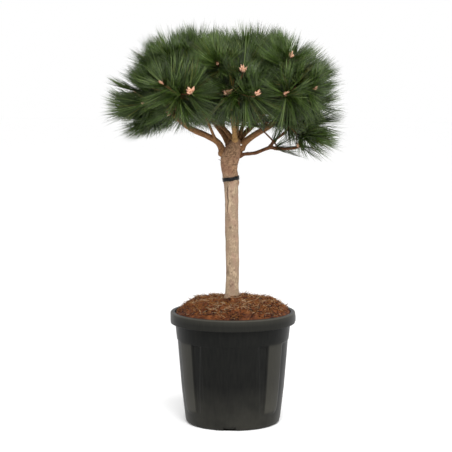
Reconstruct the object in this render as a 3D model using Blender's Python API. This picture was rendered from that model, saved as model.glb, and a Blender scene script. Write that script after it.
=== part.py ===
"""Young Austrian pine, grafted on a clear stem and grown in a round nursery container.

Metres, +Z up. The origin is the centre of the container's flat underside, and the front faces -Y.
Headings are in degrees round +Z from +X, so 180 is left, 270 is front and 90 is back.
Climbs are in degrees above the level.
"""

import math
from collections import namedtuple

import bmesh
import bpy
import numpy as np
from mathutils import Matrix, Vector, noise

GAP = 0.0003  # between pieces that touch
SHARP_EDGE = 40.0  # degrees between faces past which an edge stays sharp

# Container: a moulded cone with a collar, a turned-down lip and broad raised pilasters
POT_BASE_R = 0.131
POT_FOOT_R = 0.1375
POT_FOOT_Z = 0.010
POT_WAIST_R = 0.1489
POT_WAIST_Z = 0.105
POT_WALL_TOP_R = 0.1598
POT_WALL_TOP_Z = 0.242
POT_COLLAR_LOW_R = 0.1618
POT_COLLAR_HIGH_R = 0.1668
POT_LIP_LOW_Z = 0.290
POT_LIP_R = 0.1805
POT_TOP_Z = 0.3227
POT_LIP_WALL = 0.0027
POT_LIP_BEND = 0.0045
POT_LIP_TOP_WALL = 0.007
POT_MOUTH_R = 0.1672
POT_WALL = 0.0030
POT_FLOOR = 0.0035
POT_TURN = -4.2  # the moulding's front centre, turned a little to the left
PILASTER_SPAN = (42.0, 64.5)  # degrees from the front centre and from the back centre
PILASTER_EDGE = 1.0
PILASTER_FOOT_Z = 0.032
PILASTER_FOOT_RISE = 0.004
PILASTER_FOOT_SHARE = 0.35  # how far it stands out at its foot, as a share of its top
PLAIN_COLUMNS = (0.0, 21.0, 77.0)  # further columns of the mesh, degrees as for the pilasters
NOTCH_WIDTH = 0.033
NOTCH_HEIGHT = 0.011
NOTCH_REACH = 0.012  # how far in from the foot's edge
NOTCH_SPARE = 0.030  # how far the cutter runs on outside

# Mulch and compost in the container
SOIL_EDGE_Z = 0.321
SOIL_TOP_Z = 0.358
SOIL_SEAT_R = 0.028  # level spot that the trunk stands on
SOIL_RINGS = (0.154, 0.136, 0.105, 0.064)
SOIL_SHOULDER = 5  # the higher, the longer the heap stays high towards the rim
SOIL_LUMPS = 0.004
SOIL_LUMPS_PER_M = 38
SOIL_HEAP = (0.036, 0.045)  # a heap behind the trunk on the right
SOIL_HEAP_RISE = 0.010
SOIL_HEAP_R = 0.016

# Trunk: height above the mulch, lean to the right, radius
TRUNK_FOOT_Z = SOIL_TOP_Z + GAP
TRUNK_RINGS = (
    (0.000, -0.0024, 0.0235),
    (0.014, -0.0024, 0.0200),
    (0.039, -0.0018, 0.0185),
    (0.114, -0.0009, 0.0192),
    (0.199, -0.0031, 0.0197),
    (0.299, -0.0040, 0.0192),
    (0.336, -0.0048, 0.0215),
    (0.350, -0.0060, 0.0225),
    (0.370, -0.0095, 0.0215),
    (0.389, -0.0112, 0.0245),
    (0.403, -0.0100, 0.0258),
    (0.418, -0.0030, 0.0240),
    (0.433, 0.0040, 0.0210),
    (0.452, 0.0085, 0.0175),
    (0.459, 0.0090, 0.0120),
)
TRUNK_SIDES = 12
TIE_Z = 0.7055
TIE_HEIGHT = 0.011
TIE_THICKNESS = 0.0015
TIE_TILT = 9.0

# Limbs: each leaves its carrier and turns evenly through its headings and climbs.
# at is a height on the trunk, or a share of another limb's length, and out is how far from the
# carrier's middle the limb starts, in carrier radii.
Limb = namedtuple("Limb", "carrier at out headings climbs length radii sides")
LIMBS = {
    "bough_left": Limb(
        "trunk", 0.745, 0.2, (180, 182, 190, 205), (70, 66, 46, 24, 26, 38, 44), 0.225, (0.0125, 0.0060), 8
    ),
    "bough_right": Limb(
        "trunk", 0.781, 0.4, (4, 0, -4), (42, 42, 39, 35, 29, 15, 15), 0.205, (0.0118, 0.0056), 8
    ),
    "bough_low_right": Limb("trunk", 0.7655, 0.4, (0, -3), (12, 14, 17, 14), 0.116, (0.0050, 0.0046), 8),
    "bough_front": Limb("trunk", 0.806, 0.4, (264, 256), (64, 50, 45, 43), 0.185, (0.0078, 0.0050), 8),
    "bough_inner_left": Limb(
        "trunk", 0.806, 0.3, (142, 146, 182, 205), (62, 36, 32, 44, 56), 0.240, (0.0068, 0.0042), 6
    ),
    "bough_inner_right": Limb("trunk", 0.806, 0.5, (58, 62, 95), (58, 54, 50), 0.215, (0.0060, 0.0042), 6),
    "bough_upright": Limb("trunk", 0.806, 0.5, (80, 60), (76, 82, 78), 0.215, (0.0064, 0.0042), 6),
    "bough_back_left": Limb("trunk", 0.784, 0.4, (122, 130), (52, 38, 30), 0.195, (0.0105, 0.0060), 8),
    "bough_back_right": Limb("trunk", 0.788, 0.4, (50, 44), (50, 36, 30), 0.195, (0.0098, 0.0058), 8),
    "bough_back": Limb("bough_back_left", 0.30, 0, (92, 86), (46, 34, 30), 0.150, (0.0065, 0.0048), 6),
    "shoot_left": Limb("bough_left", 0.31, 0, (226, 232, 238), (66, 54, 38, 30), 0.190, (0.0040, 0.0030), 6),
    "branch_crest_left": Limb("bough_upright", 0.50, 0, (186, 190), (38, 52), 0.135, (0.0044, 0.0034), 6),
    "branch_right": Limb("bough_right", 0.66, 0, (318, 290), (56, 46, 34), 0.150, (0.0050, 0.0038), 6),
    "branch_right_top": Limb("bough_right", 0.50, 0, (12, -10), (66, 62, 60), 0.150, (0.0050, 0.0038), 6),
    "branch_front_top": Limb("bough_front", 0.30, 0, (262, 268), (74, 76, 72), 0.150, (0.0046, 0.0036), 6),
    "branch_low_upper": Limb(
        "bough_low_right", 0.92, 0, (-6, -10), (84, 44, 36, 46, 56), 0.080, (0.0043, 0.0034), 8
    ),
    "branch_low_lower": Limb(
        "bough_low_right", 0.99, 0.3, (-8, -18), (-12, -2, 10, 28), 0.085, (0.0045, 0.0036), 8
    ),
}
LIMB_RING_STEP = 0.025
LIMB_FEWEST_STEPS = 5

# Foliage masses: heading, reach and height of the middle, then radius, rise and drop from it
Mass = namedtuple("Mass", "heading reach height radius rise drop")
CROWN_X = -0.022
MASSES = {
    "foliage_left": Mass(183, 0.232, 0.928, 0.118, 0.092, 0.082),
    "foliage_front_left": Mass(232, 0.225, 0.945, 0.115, 0.085, 0.070),
    "foliage_front": Mass(274, 0.200, 0.955, 0.105, 0.085, 0.062),
    "foliage_front_right": Mass(318, 0.228, 0.950, 0.115, 0.085, 0.070),
    "foliage_right": Mass(2, 0.235, 0.940, 0.112, 0.090, 0.070),
    "foliage_right_low": Mass(352, 0.246, 0.832, 0.090, 0.052, 0.068),
    "foliage_back_right": Mass(46, 0.225, 0.940, 0.120, 0.090, 0.072),
    "foliage_back": Mass(90, 0.220, 0.945, 0.112, 0.090, 0.070),
    "foliage_back_left": Mass(134, 0.225, 0.940, 0.120, 0.090, 0.072),
    "foliage_top_left": Mass(184, 0.165, 1.015, 0.112, 0.088, 0.070),
    "foliage_top_front": Mass(270, 0.128, 1.030, 0.112, 0.088, 0.070),
    "foliage_top_right": Mass(354, 0.188, 1.015, 0.115, 0.092, 0.070),
    "foliage_top_back": Mass(90, 0.135, 1.030, 0.122, 0.090, 0.070),
    "foliage_crest_left": Mass(168, 0.086, 1.055, 0.098, 0.086, 0.080),
    "foliage_crest_right": Mass(6, 0.080, 1.060, 0.102, 0.090, 0.080),
}
MASS_UNEVENNESS = 0.16  # share of the radius
MASS_UNEVEN_SCALE = 1.9  # waves round the ball
MASS_TUFTS = 0.10
MASS_TUFT_SCALE = 6.5
MASS_SHIFT = (7.3, 3.1, 5.7)  # moves each mass to its own part of the noise

COLOURS = {
    "pot": "2A2B2A",
    "mulch": "8A4A20",
    "bark": "8A6A4E",
    "tie": "1C1D1F",
    "needles": "3D5A2A",
}


def clear_scene():
    for old in list(bpy.data.objects):
        bpy.data.objects.remove(old, do_unlink=True)


def linear(channel):
    return channel / 12.92 if channel <= 0.04045 else ((channel + 0.055) / 1.055) ** 2.4


def material(name, roughness):
    """Plain Principled material in the named colour."""
    made = bpy.data.materials.new(name)
    made.use_nodes = True
    shader = made.node_tree.nodes["Principled BSDF"]
    code = COLOURS[name]
    rgb = [linear(int(code[i : i + 2], 16) / 255) for i in (0, 2, 4)]
    shader.inputs["Base Color"].default_value = (*rgb, 1.0)
    shader.inputs["Roughness"].default_value = roughness
    shader.inputs["Metallic"].default_value = 0.0
    return made


def place(name, mesh, finish):
    """Puts a mesh in the scene as a smooth-shaded object of this name."""
    mesh.shade_smooth()
    mesh.set_sharp_from_angle(angle=math.radians(SHARP_EDGE))
    mesh.materials.clear()
    mesh.materials.append(finish)
    piece = bpy.data.objects.new(name, mesh)
    bpy.context.scene.collection.objects.link(piece)
    return piece


def helper(name, mesh):
    """A cutter: it shapes other pieces and is never shown."""
    cutter = bpy.data.objects.new(name, mesh)
    bpy.context.scene.collection.objects.link(cutter)
    cutter.hide_render = True
    cutter.display_type = "WIRE"
    return cutter


def boolean(piece, cutter, operation="DIFFERENCE"):
    step = piece.modifiers.new(cutter.name, "BOOLEAN")
    step.operation = operation
    step.solver = "EXACT"
    step.object = cutter


def box_mesh(name, size, matrix):
    shape = bmesh.new()
    bmesh.ops.create_cube(shape, size=1.0)
    bmesh.ops.transform(shape, matrix=matrix @ Matrix.Diagonal((*size, 1.0)), verts=shape.verts)
    mesh = bpy.data.meshes.new(name)
    shape.to_mesh(mesh)
    shape.free()
    return mesh


def turned_mesh(name, angles, rows, first_z, last_z):
    """Closed turned shape: rings of points joined in order, with a pole on the axis at both ends.

    rows holds one (x, y, z) array per ring, from the pole at first_z to the pole at last_z.
    """
    count = len(angles)
    points = [(0.0, 0.0, first_z)]
    for row in rows:
        points.extend(map(tuple, row))
    points.append((0.0, 0.0, last_z))
    faces = []
    for i in range(count):
        j = (i + 1) % count
        faces.append((0, 1 + j, 1 + i))
        for ring in range(len(rows) - 1):
            low = 1 + ring * count
            high = low + count
            faces.append((low + i, low + j, high + j, high + i))
        last = 1 + (len(rows) - 1) * count
        faces.append((last + i, last + j, len(points) - 1))
    mesh = bpy.data.meshes.new(name)
    mesh.from_pydata(points, [], faces)
    return mesh


def ring(angles, radii, heights):
    """Points at these angles, radii and heights round the axis."""
    radii = np.broadcast_to(radii, angles.shape)
    heights = np.broadcast_to(heights, angles.shape)
    return np.stack([radii * np.cos(angles), radii * np.sin(angles), heights], axis=1)


def pot_angles():
    """Column angles in radians: plain ones, and a pair at each of a pilaster's two edges."""
    quarter = [*PLAIN_COLUMNS, sum(PILASTER_SPAN) / 2]
    for edge in PILASTER_SPAN:
        quarter += [edge - PILASTER_EDGE / 2, edge + PILASTER_EDGE / 2]
    turns = []
    for start, way in ((0, 1), (180, -1), (180, 1), (360, -1)):
        turns += [start + way * step for step in quarter]
    turns += [90.0, 270.0]
    turns = np.unique(np.mod(turns, 360.0))
    return np.radians(turns + 270.0 + POT_TURN)


def pilaster_share(angles):
    """1 on the raised pilasters, 0 between them: they stand alike either side of front and back."""
    from_front = np.abs(np.degrees(angles) - 270.0 - POT_TURN) % 180.0
    from_front = np.minimum(from_front, 180.0 - from_front)
    low, high = PILASTER_SPAN
    return ((from_front > low) & (from_front < high)).astype(float)


def wall_radius(height):
    """Outer radius of the plain wall, two cones that meet at the waist."""
    heights = (POT_FOOT_Z, POT_WAIST_Z, POT_WALL_TOP_Z)
    return float(np.interp(height, heights, (POT_FOOT_R, POT_WAIST_R, POT_WALL_TOP_R)))


def inner_profile():
    """(radius, height) down the inside, from the mouth to the floor's edge."""
    return [
        (POT_MOUTH_R, POT_TOP_Z - POT_WALL / 3),
        (POT_COLLAR_HIGH_R - POT_WALL, POT_LIP_LOW_Z),
        (POT_COLLAR_LOW_R - POT_WALL, POT_WALL_TOP_Z + POT_WALL),
        (POT_WALL_TOP_R - POT_WALL, POT_WALL_TOP_Z - POT_WALL),
        (POT_WAIST_R - POT_WALL, POT_WAIST_Z),
        (POT_FOOT_R - POT_WALL, POT_FOOT_Z),
        (POT_BASE_R - POT_WALL, POT_FLOOR),
    ]


def build_pot(finish):
    angles = pot_angles()
    share = pilaster_share(angles)
    rows = [
        ring(angles, POT_BASE_R, 0.0),
        ring(angles, POT_BASE_R + 0.65 * (POT_FOOT_R - POT_BASE_R), POT_FOOT_Z * 0.3),
        ring(angles, POT_FOOT_R, POT_FOOT_Z),
    ]
    step = POT_COLLAR_LOW_R - POT_WALL_TOP_R
    foot_top = PILASTER_FOOT_Z + PILASTER_FOOT_RISE
    for height in (PILASTER_FOOT_Z, foot_top, POT_WAIST_Z, POT_WALL_TOP_Z):
        up = (height - PILASTER_FOOT_Z) / (POT_WALL_TOP_Z - PILASTER_FOOT_Z)
        stands_out = PILASTER_FOOT_SHARE + (1 - PILASTER_FOOT_SHARE) * up
        raised = share * step * stands_out * (height > PILASTER_FOOT_Z)
        rows.append(ring(angles, wall_radius(height) + raised, height))
    under_lip = POT_TOP_Z - POT_LIP_TOP_WALL
    rows += [
        ring(angles, POT_COLLAR_LOW_R, POT_WALL_TOP_Z + POT_WALL),
        ring(angles, POT_COLLAR_HIGH_R, POT_LIP_LOW_Z),
        ring(angles, POT_COLLAR_HIGH_R, under_lip),
        ring(angles, POT_LIP_R - POT_LIP_WALL, under_lip),
        ring(angles, POT_LIP_R - POT_LIP_WALL, POT_LIP_LOW_Z),
        ring(angles, POT_LIP_R, POT_LIP_LOW_Z),
        ring(angles, POT_LIP_R, POT_TOP_Z - POT_LIP_BEND),
        ring(angles, POT_LIP_R - POT_LIP_BEND, POT_TOP_Z),
        ring(angles, POT_MOUTH_R + POT_WALL, POT_TOP_Z),
    ]
    rows += [ring(angles, radius, height) for radius, height in inner_profile()]
    pot = place("pot", turned_mesh("pot", angles, rows, 0.0, POT_FLOOR), finish)
    for turn in range(0, 360, 90):
        spin = Matrix.Rotation(math.radians(270 + POT_TURN + turn), 4, "Z")
        middle = POT_BASE_R + (NOTCH_SPARE - NOTCH_REACH) / 2
        at = spin @ Matrix.Translation((middle, 0.0, 0.0))
        size = (NOTCH_REACH + NOTCH_SPARE, NOTCH_WIDTH, 2 * NOTCH_HEIGHT)
        boolean(pot, helper(f"notch_{turn}", box_mesh("notch", size, at)))


def mulch_height(x, y):
    """Height of the mulch: a heap with a broad top and lumps, level under the trunk's foot."""
    out = math.hypot(x, y) / POT_MOUTH_R
    inwards = 1 - out**SOIL_SHOULDER
    lumps = SOIL_LUMPS * noise.noise(Vector((x, y, 0.0)) * SOIL_LUMPS_PER_M)
    off_heap = math.dist((x, y), SOIL_HEAP) / SOIL_HEAP_R
    heap = SOIL_HEAP_RISE * math.exp(-(off_heap**2))
    return SOIL_EDGE_Z + (SOIL_TOP_Z - SOIL_EDGE_Z + lumps + heap) * inwards


def build_substrate(finish):
    """Fills the container just clear of its wall and floor, heaped up towards the trunk."""
    angles = pot_angles()
    inside = [(radius - 1.2 * GAP, height) for radius, height in reversed(inner_profile())]
    inside[0] = (inside[0][0], POT_FLOOR + GAP)
    inside[-1] = (inside[-1][0] - 2 * GAP, SOIL_EDGE_Z)
    rows = [ring(angles, radius, height) for radius, height in inside]
    for radius in SOIL_RINGS:
        heights = [mulch_height(radius * math.cos(a), radius * math.sin(a)) for a in angles]
        rows.append(ring(angles, radius, np.array(heights)))
    rows.append(ring(angles, SOIL_SEAT_R, SOIL_TOP_Z))
    mesh = turned_mesh("substrate", angles, rows, POT_FLOOR + GAP, SOIL_TOP_Z)
    place("substrate", mesh, finish)


def tube_mesh(name, route, radii, sides, grow=0.0):
    """Round tapering tube along a route with closed ends, widened and lengthened by grow."""
    route = np.array(route, float)
    ends = route[[0, -1]] - route[[1, -2]]
    route[[0, -1]] += grow * ends / np.linalg.norm(ends, axis=1, keepdims=True)
    path = bpy.data.curves.new(name, "CURVE")
    path.dimensions = "3D"
    path.bevel_depth = 1.0
    path.bevel_resolution = sides // 2 - 2
    path.use_fill_caps = True
    line = path.splines.new("POLY")
    line.points.add(len(route) - 1)
    for point, place_at, radius in zip(line.points, route, radii):
        point.co = (*place_at, 1.0)
        point.radius = radius + grow
    stand_in = bpy.data.objects.new(name, path)
    mesh = bpy.data.meshes.new_from_object(stand_in)
    bpy.data.objects.remove(stand_in)
    mesh.name = name
    shape = bmesh.new()
    shape.from_mesh(mesh)
    bmesh.ops.remove_doubles(shape, verts=shape.verts, dist=0.00001)
    bmesh.ops.recalc_face_normals(shape, faces=shape.faces)
    shape.to_mesh(mesh)
    shape.free()
    return mesh


def trunk_point(height):
    """(middle, radius) of the trunk at this height above the ground."""
    ups, leans, radii = np.array(TRUNK_RINGS).T
    up = height - TRUNK_FOOT_Z
    return np.array([np.interp(up, ups, leans), 0.0, height]), np.interp(up, ups, radii)


def limb_route(limb, routes):
    """Points and radii along a limb, stepping along headings and climbs that turn evenly."""
    if limb.carrier == "trunk":
        start, width = trunk_point(limb.at)
    else:
        points, widths = routes[limb.carrier]
        along = limb.at * (len(points) - 1)
        start = np.array([np.interp(along, range(len(points)), axis) for axis in points.T])
        width = np.interp(along, range(len(points)), widths)
    count = max(LIMB_FEWEST_STEPS, round(limb.length / LIMB_RING_STEP))
    share = (np.arange(count) + 0.5) / count
    heading = np.radians(np.interp(share, np.linspace(0, 1, len(limb.headings)), limb.headings))
    climb = np.radians(np.interp(share, np.linspace(0, 1, len(limb.climbs)), limb.climbs))
    steps = np.stack(
        [np.cos(climb) * np.cos(heading), np.cos(climb) * np.sin(heading), np.sin(climb)], axis=1
    )
    level = np.array([math.cos(heading[0]), math.sin(heading[0]), 0.0])
    start = start + limb.out * width * level
    points = np.vstack([start, start + np.cumsum(steps, axis=0) * limb.length / count])
    radii = np.interp(np.linspace(0, 1, count + 1), (0, 1), limb.radii)
    return points, radii


def build_trunk(finish):
    ups, leans, radii = np.array(TRUNK_RINGS).T
    route = np.stack([leans, np.zeros_like(ups), TRUNK_FOOT_Z + ups], axis=1)
    place("trunk", tube_mesh("trunk", route, radii, TRUNK_SIDES), finish)
    sleeve = helper("trunk_sleeve", tube_mesh("trunk_sleeve", route, radii, TRUNK_SIDES, GAP))
    return sleeve, route, radii


def build_tie(route, radii, sleeve, finish):
    """Tilted band of tape round the graft, wrapped close to the bark."""
    mesh = tube_mesh("graft_tie", route, radii, TRUNK_SIDES, GAP + TIE_THICKNESS)
    tie = place("graft_tie", mesh, finish)
    middle, _ = trunk_point(TIE_Z)
    at = Matrix.Translation(Vector(middle)) @ Matrix.Rotation(math.radians(-TIE_TILT), 4, "Y")
    wide = 6 * max(radii)
    slab = helper("tie_slab", box_mesh("tie_slab", (wide, wide, TIE_HEIGHT), at))
    boolean(tie, slab, "INTERSECT")
    boolean(tie, sleeve)


def boxes_meet(first, second, margin):
    """Whether the boxes round two sets of points come within margin of each other."""
    low = np.maximum(first.min(0), second.min(0)) - margin
    high = np.minimum(first.max(0), second.max(0)) + margin
    return bool((low <= high).all())


def build_limbs(trunk_sleeve, finish):
    """Each limb starts inside its carrier and is cut back to just clear of it and of earlier limbs."""
    routes = {}
    sleeves = {}
    for name, limb in LIMBS.items():
        points, radii = limb_route(limb, routes)
        piece = place(name, tube_mesh(name, points, radii, limb.sides), finish)
        boolean(piece, trunk_sleeve)
        for other, (others_points, _) in routes.items():
            if boxes_meet(points, others_points, 0.02):
                boolean(piece, sleeves[other])
        routes[name] = (points, radii)
        mesh = tube_mesh(f"{name}_sleeve", points, radii, limb.sides, GAP)
        sleeves[name] = helper(f"{name}_sleeve", mesh)
    return routes, sleeves


def mass_middle(mass):
    turn = math.radians(mass.heading)
    return Vector((CROWN_X + mass.reach * math.cos(turn), mass.reach * math.sin(turn), mass.height))


def mass_mesh(name, mass, seed):
    """Uneven tufted ball, flattened against the planes that part it from its neighbours.

    Along a direction its radius is that of an ellipsoid with unlike rise and drop, times a coarse
    and a fine noise, and never past a parting plane. Each plane lies where both balls reach alike.
    """
    middle = mass_middle(mass)
    planes = []
    for other_name, other in MASSES.items():
        towards = mass_middle(other) - middle
        if other_name == name:
            continue
        apart = towards.length
        far = (apart**2 + mass.radius**2 - other.radius**2) / (2 * apart) - GAP
        planes.append((towards.normalized(), far))
    shift = Vector(MASS_SHIFT) * seed
    shape = bmesh.new()
    bmesh.ops.create_icosphere(shape, subdivisions=3, radius=1.0)
    for vert in shape.verts:
        way = vert.co.normalized()
        tall = mass.rise if way.z > 0 else mass.drop
        level = math.hypot(way.x, way.y) / mass.radius
        reach = 1 / math.sqrt(level**2 + (way.z / tall) ** 2)
        reach *= 1 + MASS_UNEVENNESS * noise.noise(way * MASS_UNEVEN_SCALE + shift)
        reach *= 1 + MASS_TUFTS * noise.noise(way * MASS_TUFT_SCALE + shift)
        for normal, far in planes:
            facing = way.dot(normal)
            if facing > 0:
                reach = min(reach, far / facing)
        vert.co = middle + way * reach
    mesh = bpy.data.meshes.new(name)
    shape.to_mesh(mesh)
    shape.free()
    return mesh


def build_masses(routes, sleeves, finish):
    for seed, (name, mass) in enumerate(MASSES.items(), start=1):
        mesh = mass_mesh(name, mass, seed)
        piece = place(name, mesh, finish)
        corners = np.array([vert.co for vert in mesh.vertices])
        for limb, (points, _) in routes.items():
            if boxes_meet(points, corners, 0.01):
                boolean(piece, sleeves[limb])


def main():
    clear_scene()
    bark = material("bark", 0.85)
    build_pot(material("pot", 0.42))
    build_substrate(material("mulch", 0.95))
    sleeve, route, radii = build_trunk(bark)
    build_tie(route, radii, sleeve, material("tie", 0.5))
    routes, sleeves = build_limbs(sleeve, bark)
    build_masses(routes, sleeves, material("needles", 0.6))


main()
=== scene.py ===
# %% [markdown]
# # A young Austrian pine on a clear stem
# A nursery grafts this pine at knee height on a bare stem and lets it grow into a dome. The eye
# meets a cloud of long stiff needles, a few bent boughs under it, and a black container heaped
# with shredded bark. The construction model sets every size and is loaded here as a fixed frame.
# Everything below grows on it: bark on its limbs, needles in the place of its foliage masses.

# %% The frame
import math

import bpy
import numpy as np
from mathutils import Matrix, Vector


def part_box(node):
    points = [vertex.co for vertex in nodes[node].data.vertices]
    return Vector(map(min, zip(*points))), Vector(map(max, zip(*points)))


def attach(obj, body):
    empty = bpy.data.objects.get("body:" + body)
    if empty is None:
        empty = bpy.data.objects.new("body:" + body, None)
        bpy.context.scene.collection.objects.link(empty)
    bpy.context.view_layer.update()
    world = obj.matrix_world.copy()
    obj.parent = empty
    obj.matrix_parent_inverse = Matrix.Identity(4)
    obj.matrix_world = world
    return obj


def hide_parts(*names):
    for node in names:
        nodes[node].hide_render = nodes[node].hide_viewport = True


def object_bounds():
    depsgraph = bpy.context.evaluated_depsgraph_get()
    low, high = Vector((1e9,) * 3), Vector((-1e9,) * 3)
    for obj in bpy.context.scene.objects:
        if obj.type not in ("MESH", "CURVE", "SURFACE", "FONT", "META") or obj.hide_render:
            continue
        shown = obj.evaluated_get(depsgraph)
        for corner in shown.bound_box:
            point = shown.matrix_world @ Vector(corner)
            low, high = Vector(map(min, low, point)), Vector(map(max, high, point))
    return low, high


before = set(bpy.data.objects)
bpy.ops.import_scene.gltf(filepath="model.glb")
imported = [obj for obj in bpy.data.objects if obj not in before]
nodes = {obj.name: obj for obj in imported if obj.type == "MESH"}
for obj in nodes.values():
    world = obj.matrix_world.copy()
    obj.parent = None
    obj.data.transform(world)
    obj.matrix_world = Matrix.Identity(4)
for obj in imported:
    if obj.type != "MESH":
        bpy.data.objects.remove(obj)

cad_box = [list(corner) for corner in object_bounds()]
print("construction model", np.round(cad_box, 3).tolist())

# %% [markdown]
# ## Colours and nodes
# Colours are written as the hex codes that a paint program shows. Blender's shaders want linear
# light, so one function turns them. One more adds a node with its settings and its links, and two
# short ones start a material and link its shader, so that each material below is a short list of
# what it is made of.

# %% Colours and nodes
def linear(code):
    """Hex code to linear light: a channel is divided by 12.92 near black, and elsewhere shifted a
    little and raised to the power 2.4."""
    srgb = np.array([int(code[i : i + 2], 16) for i in (0, 2, 4)]) / 255
    light = np.where(srgb <= 0.04045, srgb / 12.92, ((srgb + 0.055) / 1.055) ** 2.4)
    return (*light, 1.0)


def add(material, kind, output, inputs=None, stops=None, **settings):
    """Adds a shader node with its own settings, and returns one of its outputs. inputs gives each
    socket a value, or another node's output to link. stops are a colour ramp's places and codes."""
    node = material.node_tree.nodes.new("ShaderNode" + kind)
    for name, value in settings.items():
        setattr(node, name, value)
    for name, value in (inputs or {}).items():
        if isinstance(value, bpy.types.NodeSocket):
            material.node_tree.links.new(value, node.inputs[name])
        else:
            node.inputs[name].default_value = value
    if stops:
        ramp = node.color_ramp.elements
        ramp.remove(ramp[1])
        ramp[0].position = stops[0][0]
        ramp[0].color = linear(stops[0][1])
        for place, code in stops[1:]:
            ramp.new(place).color = linear(code)
    return node.outputs[output]


def new_material(name, **values):
    """A material with its Principled shader, whose sockets take the values by their names."""
    material = bpy.data.materials.new(name)
    material.use_nodes = True
    shader = material.node_tree.nodes["Principled BSDF"]
    for socket, value in values.items():
        shader.inputs[socket.replace("_", " ")].default_value = value
    return material, shader


def connect(material, shader, **outputs):
    """Links each output to the shader's socket of that name."""
    for socket, output in outputs.items():
        material.node_tree.links.new(output, shader.inputs[socket.replace("_", " ")])


print("helpers for materials are ready")

# %% [markdown]
# ## Meshes from arrays
# Every shape here is worked out as whole arrays: points first, then faces that name their corners.
# Filling the mesh by foreach_set is fast enough for half a million needle faces, where a loop or
# one object for each needle would take minutes.

# %% Meshes from arrays
STEADY_UP = (0.013, 0.007, 1.0)  # a little off the vertical, so that no limb is parallel to it


def make_piece(name, points, faces, materials, tints=None):
    """A smooth mesh object from an (n, 3) array of points and, for each kind of face, an
    (m, corners) array. tints picks each face's material."""
    sizes = np.concatenate([np.full(len(block), block.shape[1]) for block in faces])
    corners = np.concatenate([block.ravel() for block in faces])
    mesh = bpy.data.meshes.new(name)
    mesh.vertices.add(len(points))
    mesh.vertices.foreach_set("co", np.asarray(points, np.float32).ravel())
    mesh.loops.add(len(corners))
    mesh.loops.foreach_set("vertex_index", corners.astype(np.int32))
    mesh.polygons.add(len(sizes))
    mesh.polygons.foreach_set("loop_start", (np.cumsum(sizes) - sizes).astype(np.int32))
    for material in materials:
        mesh.materials.append(material)
    if tints is not None:
        mesh.polygons.foreach_set("material_index", tints.astype(np.int32))
    mesh.update(calc_edges=True)
    mesh.shade_smooth()
    piece = bpy.data.objects.new(name, mesh)
    bpy.context.scene.collection.objects.link(piece)
    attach(piece, "root")
    return piece


def mark(piece, name, values):
    """Stores one number for each point, for a material to read by this name."""
    layer = piece.data.attributes.new(name, "FLOAT", "POINT")
    layer.data.foreach_set("value", np.asarray(values, np.float32).ravel())


def grid_faces(rows, columns):
    """Quads of a grid whose last column meets its first, and a many-sided cap on both ends."""
    row = np.arange(rows - 1)[:, None] * columns
    here = np.arange(columns)
    after = (here + 1) % columns
    quads = np.stack([row + here, row + after, row + columns + after, row + columns + here], -1)
    return [quads.reshape(-1, 4), here[None, ::-1], here[None] + (rows - 1) * columns]


def unit(vectors):
    """Each vector divided by its length."""
    return vectors / np.maximum(np.linalg.norm(vectors, axis=-1, keepdims=True), 1e-12)


def cross_axes(lines):
    """Two directions square to each line and to each other at every point.

    The first is the level direction square to the line's chord, tipped until it is square to the
    line where it is. The second is the cross product of the line's direction and the first."""
    along = unit(np.gradient(lines, axis=-2))
    chord = lines[..., -1:, :] - lines[..., :1, :]
    level = unit(np.cross(chord, STEADY_UP))
    first = unit(level - along * (level * along).sum(-1, keepdims=True))
    return first, np.cross(along, first)


def tubes(lines, radii, sides, flat=1.0):
    """Many tapering tubes at once, from lines of shape (n, points, 3) and radii (n, points).

    Each point but the last has a ring of corners at radius times cosine and sine along the two
    cross axes, the second pressed by flat. The last point is the tip. Returns points and faces."""
    first, second = cross_axes(lines)
    turn = np.arange(sides) * math.tau / sides
    cosine, sine = np.cos(turn)[:, None], np.sin(turn)[:, None]
    across = cosine * first[:, :-1, None] + flat * sine * second[:, :-1, None]
    rings = lines[:, :-1, None] + radii[:, :-1, None, None] * across
    count, levels = rings.shape[:2]
    points = np.concatenate([rings.reshape(count, -1, 3), lines[:, -1:]], axis=1)
    start = (np.arange(count) * points.shape[1])[:, None, None]
    quads, foot, top = grid_faces(levels, sides)
    tip = np.stack([top[0], np.roll(top[0], -1), np.full(sides, levels * sides)], -1)
    faces = [(start + block).reshape(-1, block.shape[1]) for block in (quads, tip, foot)]
    return points.reshape(-1, 3), faces


def tube_tints(tints, faces):
    """Gives all faces of a tube its own tint."""
    return np.concatenate([np.repeat(tints, len(block) // len(tints)) for block in faces])


print("helpers for meshes are ready")

# %% [markdown]
# ## Unevenness
# Nothing on a plant is even. One smooth random field, sampled at several sizes, gives the lumps of
# bark and mulch. It is a small version of the noise texture, made with numpy so that it can move
# points as well as colour them. Single marks, such as a pit or a rib, are bell curves.

# %% Unevenness
NOISE_CELLS = 32  # the field repeats after this many lumps


def lumps(points, size, seed):
    """Smooth random numbers from -1 to 1 with lumps about size across.

    Space is cut into cubes of that size with a random value at each corner. A point takes the mean
    of its cube's eight corners, each weighted by its nearness, eased as 3t^2 - 2t^3."""
    table = np.random.default_rng(seed).uniform(-1, 1, (NOISE_CELLS,) * 3)
    places = np.asarray(points) / size
    low = np.floor(places).astype(int)
    near = places - low
    near = near * near * (3 - 2 * near)
    total = 0.0
    for corner in np.ndindex(2, 2, 2):
        at = (low + corner) % NOISE_CELLS
        weight = np.where(np.array(corner, bool), near, 1 - near).prod(-1)
        total = total + weight * table[at[..., 0], at[..., 1], at[..., 2]]
    return total


def eased(values, start, end):
    """0 before start, 1 after end, and 3t^2 - 2t^3 between them."""
    share = np.clip((values - start) / (end - start), 0, 1)
    return share * share * (3 - 2 * share)


def bell(values, middle, width):
    """1 at the middle, falling to both sides as e to the minus square of the distance in widths."""
    return np.exp(-(((values - middle) / width) ** 2))


print("a lump field at the origin:", round(float(lumps(np.zeros(3), 1.0, 1)), 3))

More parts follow.
